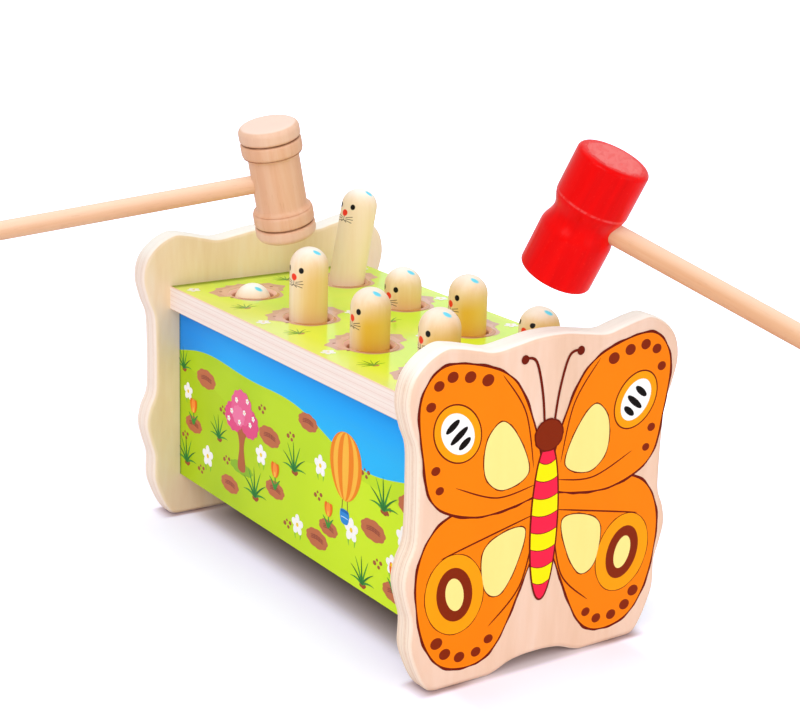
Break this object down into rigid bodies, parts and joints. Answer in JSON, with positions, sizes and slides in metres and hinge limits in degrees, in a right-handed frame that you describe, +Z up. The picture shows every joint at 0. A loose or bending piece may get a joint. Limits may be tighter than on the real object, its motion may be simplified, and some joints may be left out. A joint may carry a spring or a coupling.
{
  "type": "whack-a-mole toy",
  "caption": "Wooden bench box with domed mole pegs that rise and fall in linked pairs through a printed deck, between two wavy end panels, with mallets.",
  "frame": {"origin": "centre of the deck's top face", "axes": "+Z up out of the deck, +Y from the front panel to the rear panel, +X to the right seen from the front"},
  "size_m": [0.3239, 0.4091, 0.24],
  "materials": {
    "ply": "satin lacquer",
    "deck_print": "printed, satin",
    "side_print": "printed, satin",
    "inner_wood": "sanded",
    "peg_wood": "satin lacquer",
    "mallet_wood": "sanded",
    "red_paint": "gloss lacquer",
    "steel": "drawn"
  },
  "bodies": {
    "box": {"front_end_panel": "ply", "rear_end_panel": "ply", "deck_board": "deck_print", "left_side_panel": "side_print", "right_side_panel": "side_print", "bottom_board": "inner_wood", "pivot_rod": "steel", "rod_sleeve_1": "inner_wood", "rod_sleeve_2": "inner_wood", "rod_sleeve_3": "inner_wood", "rod_sleeve_4": "inner_wood", "rod_sleeve_5": "inner_wood", "front_join_dowel_1": "inner_wood", "front_join_dowel_2": "inner_wood", "front_join_dowel_3": "inner_wood", "front_join_dowel_4": "inner_wood", "front_join_dowel_5": "inner_wood", "front_join_dowel_6": "inner_wood", "rear_join_dowel_1": "inner_wood", "rear_join_dowel_2": "inner_wood", "rear_join_dowel_3": "inner_wood", "rear_join_dowel_4": "inner_wood", "rear_join_dowel_5": "inner_wood", "rear_join_dowel_6": "inner_wood"},
    "rocker_1": {"rocker_1": "inner_wood", "rocker_1_left_dowel": "inner_wood", "rocker_1_right_dowel": "inner_wood"},
    "mole_rear_left": {"mole_rear_left": "peg_wood"},
    "mole_rear_right": {"mole_rear_right": "peg_wood"},
    "rocker_2": {"rocker_2": "inner_wood", "rocker_2_left_dowel": "inner_wood", "rocker_2_right_dowel": "inner_wood"},
    "mole_middle_rear_left": {"mole_middle_rear_left": "peg_wood"},
    "mole_middle_rear_right": {"mole_middle_rear_right": "peg_wood"},
    "rocker_3": {"rocker_3": "inner_wood", "rocker_3_left_dowel": "inner_wood", "rocker_3_right_dowel": "inner_wood"},
    "mole_middle_front_left": {"mole_middle_front_left": "peg_wood"},
    "mole_middle_front_right": {"mole_middle_front_right": "peg_wood"},
    "rocker_4": {"rocker_4": "inner_wood", "rocker_4_left_dowel": "inner_wood", "rocker_4_right_dowel": "inner_wood"},
    "mole_front_left": {"mole_front_left": "peg_wood"},
    "mole_front_right": {"mole_front_right": "peg_wood"},
    "natural_mallet": {"natural_mallet_head": "mallet_wood", "natural_mallet_handle": "mallet_wood"},
    "red_mallet": {"red_mallet_head": "red_paint", "red_mallet_handle": "mallet_wood"}
  },
  "joints": [
    {"name": "rocker_1_tilt", "type": "hinge", "parent": "box", "child": "rocker_1", "pos_m": [0, 0.08355, -0.054], "axis": [0, 1, 0], "range_deg": [0, 73.13]},
    {"name": "mole_rear_left_slide", "type": "slide", "parent": "box", "child": "mole_rear_left", "axis": [0, 0, 1], "range_m": [0, 0.04536]},
    {"name": "mole_rear_right_slide", "type": "slide", "parent": "box", "child": "mole_rear_right", "axis": [0.1736, 0, 0.9848], "range_m": [-0.04026, 0]},
    {"name": "rocker_2_tilt", "type": "hinge", "parent": "box", "child": "rocker_2", "pos_m": [0, 0.02785, -0.054], "axis": [0, 1, 0], "range_deg": [-48.83, 24.24]},
    {"name": "mole_middle_rear_left_slide", "type": "slide", "parent": "box", "child": "mole_middle_rear_left", "axis": [0, 0, 1], "range_m": [-0.03073, 0.01528]},
    {"name": "mole_middle_rear_right_slide", "type": "slide", "parent": "box", "child": "mole_middle_rear_right", "axis": [0, 0, 1], "range_m": [-0.01528, 0.03073]},
    {"name": "rocker_3_tilt", "type": "hinge", "parent": "box", "child": "rocker_3", "pos_m": [0, -0.02785, -0.054], "axis": [0, 1, 0], "range_deg": [-36.54, 36.54]},
    {"name": "mole_middle_front_left_slide", "type": "slide", "parent": "box", "child": "mole_middle_front_left", "axis": [0, 0, 1], "range_m": [-0.02301, 0.02301]},
    {"name": "mole_middle_front_right_slide", "type": "slide", "parent": "box", "child": "mole_middle_front_right", "axis": [0, 0, 1], "range_m": [-0.02301, 0.02301]},
    {"name": "rocker_4_tilt", "type": "hinge", "parent": "box", "child": "rocker_4", "pos_m": [0, -0.08355, -0.054], "axis": [0, 1, 0], "range_deg": [-41.29, 31.78]},
    {"name": "mole_front_left_slide", "type": "slide", "parent": "box", "child": "mole_front_left", "axis": [0, 0, 1], "range_m": [-0.02599, 0.02002]},
    {"name": "mole_front_right_slide", "type": "slide", "parent": "box", "child": "mole_front_right", "axis": [0, 0, 1], "range_m": [-0.02002, 0.02599]},
    {"name": "natural_mallet_swing", "type": "hinge", "parent": "box", "child": "natural_mallet", "pos_m": [-0.18011, 0.13036, 0.03273], "axis": [0.4127, 0.8963, 0.1621], "range_deg": [-60, 3]},
    {"name": "red_mallet_swing", "type": "hinge", "parent": "box", "child": "red_mallet", "pos_m": [0.10986, -0.24977, 0.00698], "axis": [-0.7957, -0.5979, -0.0966], "range_deg": [-60, 4]}
  ],
  "couplings": [
    {"joint": "mole_rear_left_slide", "follows": "rocker_1_tilt", "m_per_rad": 0.0355},
    {"joint": "mole_rear_right_slide", "follows": "rocker_1_tilt", "m_per_rad": -0.0315},
    {"joint": "mole_middle_rear_left_slide", "follows": "rocker_2_tilt", "m_per_rad": 0.036},
    {"joint": "mole_middle_rear_right_slide", "follows": "rocker_2_tilt", "m_per_rad": -0.036},
    {"joint": "mole_middle_front_left_slide", "follows": "rocker_3_tilt", "m_per_rad": 0.036},
    {"joint": "mole_middle_front_right_slide", "follows": "rocker_3_tilt", "m_per_rad": -0.036},
    {"joint": "mole_front_left_slide", "follows": "rocker_4_tilt", "m_per_rad": 0.036},
    {"joint": "mole_front_right_slide", "follows": "rocker_4_tilt", "m_per_rad": -0.036}
  ]
}
